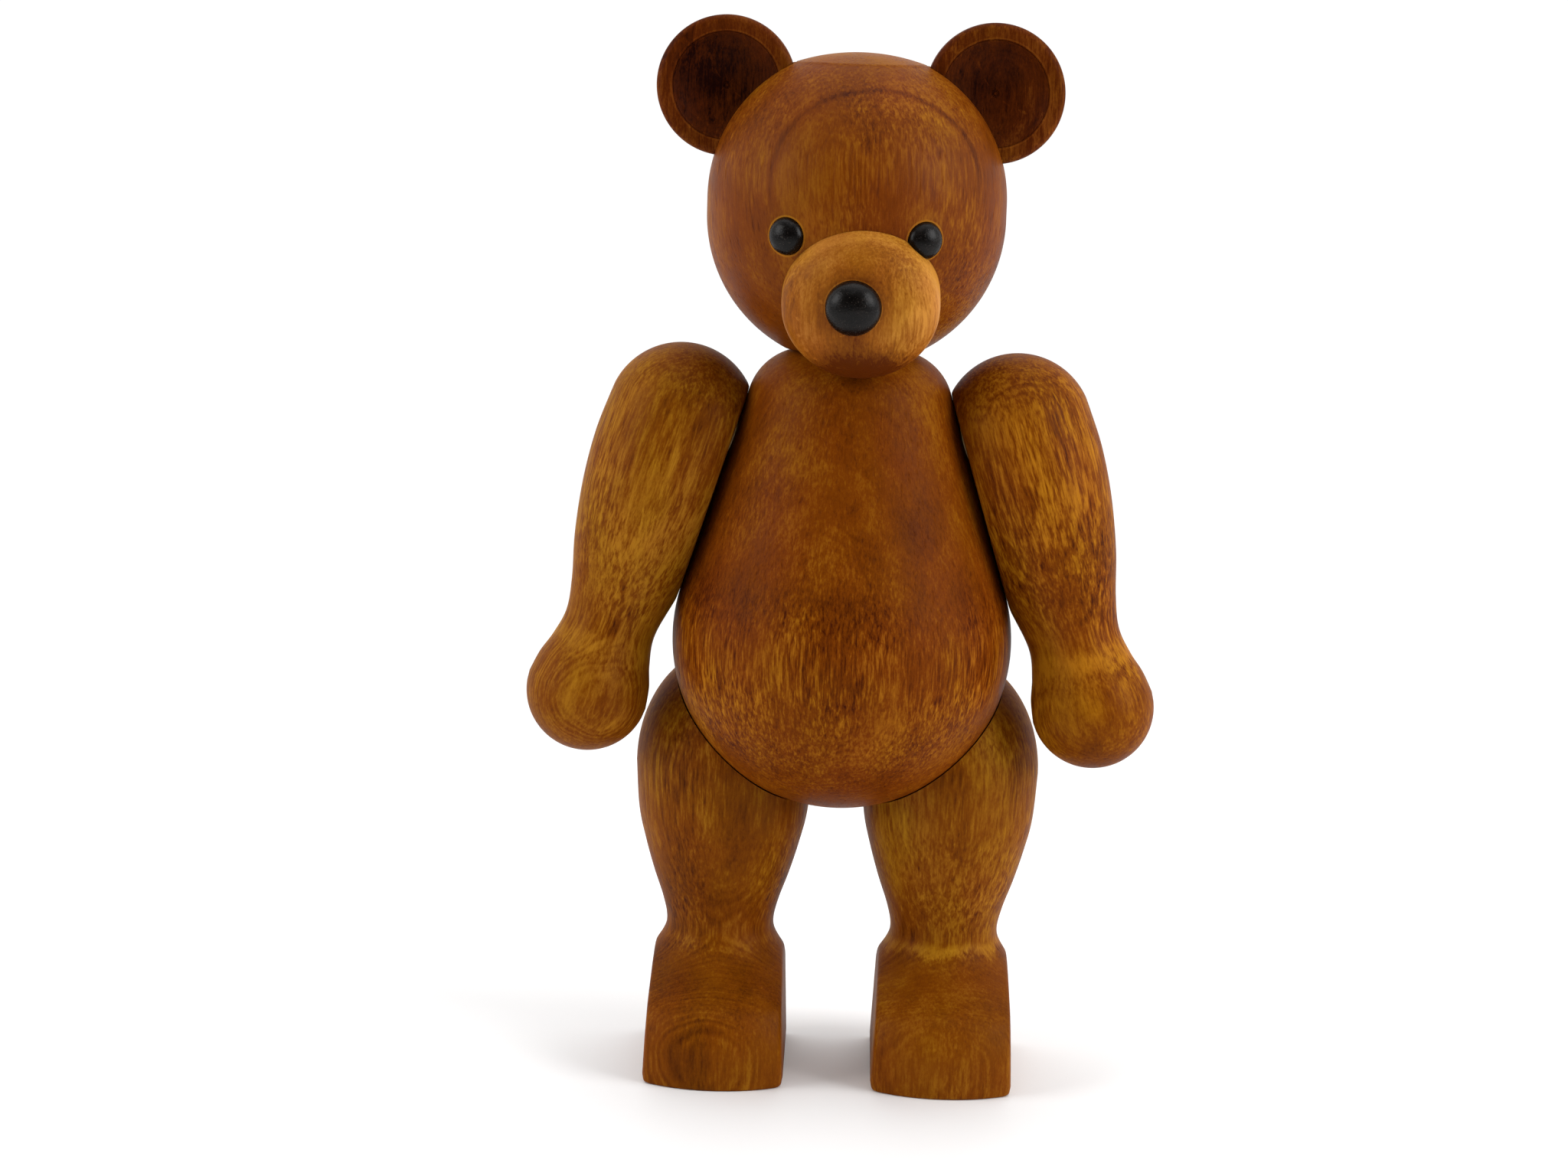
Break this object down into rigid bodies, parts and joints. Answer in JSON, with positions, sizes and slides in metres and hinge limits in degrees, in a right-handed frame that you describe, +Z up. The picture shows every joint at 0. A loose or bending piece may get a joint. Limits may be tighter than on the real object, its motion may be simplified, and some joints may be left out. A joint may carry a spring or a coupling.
{
  "type": "jointed wooden teddy bear figurine",
  "caption": "Standing toy bear of lathe-turned stained wood, with a turning head, swinging arms and legs strung on elastic cord, disc ears, domed muzzle, and bead eyes and nose.",
  "frame": {"origin": "floor point below the middle of the bear's bounding box", "axes": "+Z up, -Y the way the bear faces, +X the bear's own left; mirror plane X = 0"},
  "size_m": [0.0708, 0.0408, 0.12],
  "materials": {
    "stained_wood": "satin stained and waxed",
    "dark_wood": "satin, darker stain",
    "pale_wood": "satin, lighter stain",
    "black_bead": "black lacquer",
    "plain_beech": "raw",
    "elastic": "matt woven cord"
  },
  "bodies": {
    "torso": {"body": "stained_wood", "neck_elastic": "elastic", "shoulder_elastic": "elastic", "hip_elastic": "elastic"},
    "head_body": {"head": "stained_wood", "ear_left": "dark_wood", "ear_right": "dark_wood", "muzzle": "pale_wood", "muzzle_dowel": "plain_beech", "nose": "black_bead", "eye_left": "black_bead", "eye_right": "black_bead", "neck_peg": "plain_beech"},
    "arm_left_body": {"arm_left": "stained_wood", "shoulder_peg_left": "plain_beech"},
    "arm_right_body": {"arm_right": "stained_wood", "shoulder_peg_right": "plain_beech"},
    "leg_left_body": {"leg_left": "stained_wood", "hip_peg_left": "plain_beech"},
    "leg_right_body": {"leg_right": "stained_wood", "hip_peg_right": "plain_beech"}
  },
  "joints": [
    {"name": "neck_swivel", "type": "hinge", "parent": "torso", "child": "head_body", "pos_m": [0, 0.00113, 0.0835], "axis": [0, 0, 1], "range_deg": [-75, 75]},
    {"name": "shoulder_left", "type": "hinge", "parent": "torso", "child": "arm_left_body", "pos_m": [0.01886, 0.00113, 0.0753], "axis": [-0.9548, 0, -0.2974], "range_deg": [-60, 80]},
    {"name": "shoulder_right", "type": "hinge", "parent": "torso", "child": "arm_right_body", "pos_m": [-0.01886, 0.00113, 0.0753], "axis": [-0.9548, 0, 0.2974], "range_deg": [-60, 80]},
    {"name": "hip_left", "type": "hinge", "parent": "torso", "child": "leg_left_body", "pos_m": [0, 0.00113, 0.0506], "axis": [-0.6691, 0, 0.7431], "range_deg": [-15, 100]},
    {"name": "hip_right", "type": "hinge", "parent": "torso", "child": "leg_right_body", "pos_m": [0, 0.00113, 0.0506], "axis": [-0.6691, 0, -0.7431], "range_deg": [-15, 100]}
  ]
}
